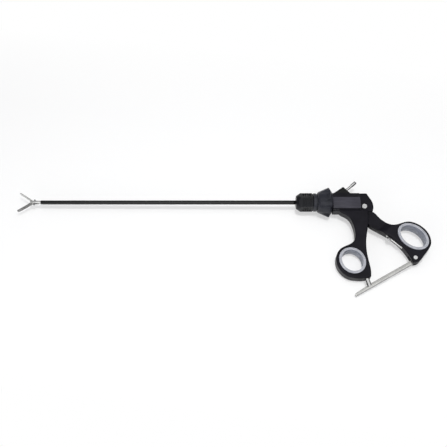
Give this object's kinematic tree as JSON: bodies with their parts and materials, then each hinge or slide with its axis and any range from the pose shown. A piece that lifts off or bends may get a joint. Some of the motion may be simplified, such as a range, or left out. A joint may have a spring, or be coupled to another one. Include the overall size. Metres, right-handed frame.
{
  "type": "laparoscopic grasper",
  "caption": "Long slender surgical grasper with scissor-type ring handles, a ratchet bar, a rotation wheel and hinged serrated jaws.",
  "frame": {"origin": "centre of the sheath nut's front face on the shaft axis, where the working length starts", "axes": "+X along the shaft axis from the jaws to the handle, +Y towards the top of the barrel, away from the finger ring, +Z square to the plane of the handles; the instrument lies on its -Z side"},
  "size_m": [0.4817, 0.1459, 0.035],
  "materials": {
    "handle_black": "moulded bluish black polymer, fine satin",
    "block_black": "moulded black polymer",
    "wheel_black": "moulded dark grey polymer",
    "sleeve_black": "glossy black insulating tubing",
    "ring_grey": "light bluish grey soft polymer",
    "bush_plastic": "off-white bearing polymer",
    "seal_rubber": "silicone rubber",
    "contact_brass": "gilt contact brass",
    "pin_steel": "polished connector pin",
    "polished_steel": "polished stainless steel",
    "brushed_steel": "satin stainless steel",
    "jaw_steel": "ground stainless steel",
    "link_steel": "dark stainless steel",
    "spring_steel": "spring steel strip",
    "bar_steel": "satin stainless steel bar"
  },
  "bodies": {
    "handle": {"front_handle": "handle_black", "connector_block": "block_black", "hf_pin": "pin_steel", "hf_contact": "contact_brass", "front_bush": "bush_plastic", "pivot_screw": "polished_steel", "pivot_nut": "polished_steel", "finger_ring_insert": "ring_grey", "catch": "polished_steel", "catch_pin": "polished_steel"},
    "rotor": {"rotation_wheel": "wheel_black", "knob_collar": "wheel_black", "sheath_nut": "wheel_black", "spindle": "brushed_steel", "spindle_circlip": "brushed_steel", "inner_tube": "brushed_steel", "insulation_sleeve": "sleeve_black", "tube_seal": "seal_rubber", "rod_seal": "seal_rubber", "jaw_clevis": "brushed_steel", "jaw_pivot_pin": "polished_steel"},
    "jaw_upper": {"jaw_upper": "jaw_steel", "link_pin_upper": "link_steel"},
    "jaw_lower": {"jaw_lower": "jaw_steel", "link_pin_lower": "link_steel"},
    "push_rod": {"push_rod": "brushed_steel", "rod_end_pin": "polished_steel", "rod_ball": "polished_steel"},
    "link_upper": {"link_upper": "link_steel"},
    "link_lower": {"link_lower": "link_steel"},
    "thumb_lever": {"thumb_lever": "handle_black", "thumb_ring_insert": "ring_grey", "leaf_spring": "spring_steel", "leaf_spring_screw": "polished_steel", "ratchet_pin": "polished_steel"},
    "ratchet_bar": {"ratchet_bar": "bar_steel"}
  },
  "joints": [
    {"name": "shaft_rotation", "type": "hinge", "parent": "handle", "child": "rotor", "pos_m": [0, 0, 0], "axis": [1, 0, 0], "continuous": true},
    {"name": "thumb_lever_hinge", "type": "hinge", "parent": "handle", "child": "thumb_lever", "pos_m": [0.0795, -0.00816, 0], "axis": [0, 0, -1], "range_deg": [0, 19]},
    {"name": "jaw_upper_hinge", "type": "hinge", "parent": "rotor", "child": "jaw_upper", "pos_m": [-0.313, 0, 0], "axis": [0, 0, 1], "range_deg": [0, 35]},
    {"name": "jaw_lower_hinge", "type": "hinge", "parent": "rotor", "child": "jaw_lower", "pos_m": [-0.313, 0, 0], "axis": [0, 0, -1], "range_deg": [0, 35]},
    {"name": "rod_slide", "type": "slide", "parent": "rotor", "child": "push_rod", "axis": [1, 0, 0], "range_m": [0, 0.00273]},
    {"name": "link_upper_hinge", "type": "hinge", "parent": "push_rod", "child": "link_upper", "pos_m": [-0.30732, 0, 0], "axis": [0, 0, -1], "range_deg": [0, 30.43]},
    {"name": "link_lower_hinge", "type": "hinge", "parent": "push_rod", "child": "link_lower", "pos_m": [-0.30732, 0, 0], "axis": [0, 0, 1], "range_deg": [0, 30.43]},
    {"name": "bar_pin_hinge", "type": "hinge", "parent": "thumb_lever", "child": "ratchet_bar", "pos_m": [0.1314, -0.0734, 0], "axis": [0, 0, 1], "range_deg": [0, 19.54]}
  ],
  "couplings": [
    {"joint": "jaw_upper_hinge", "follows": "thumb_lever_hinge", "ratio": 1.8421},
    {"joint": "jaw_lower_hinge", "follows": "thumb_lever_hinge", "ratio": 1.8421},
    {"joint": "rod_slide", "follows": "thumb_lever_hinge", "m_per_rad": 0.0082388},
    {"joint": "link_upper_hinge", "follows": "thumb_lever_hinge", "ratio": 1.6016},
    {"joint": "link_lower_hinge", "follows": "thumb_lever_hinge", "ratio": 1.6016},
    {"joint": "bar_pin_hinge", "follows": "thumb_lever_hinge", "ratio": 1.0282}
  ]
}
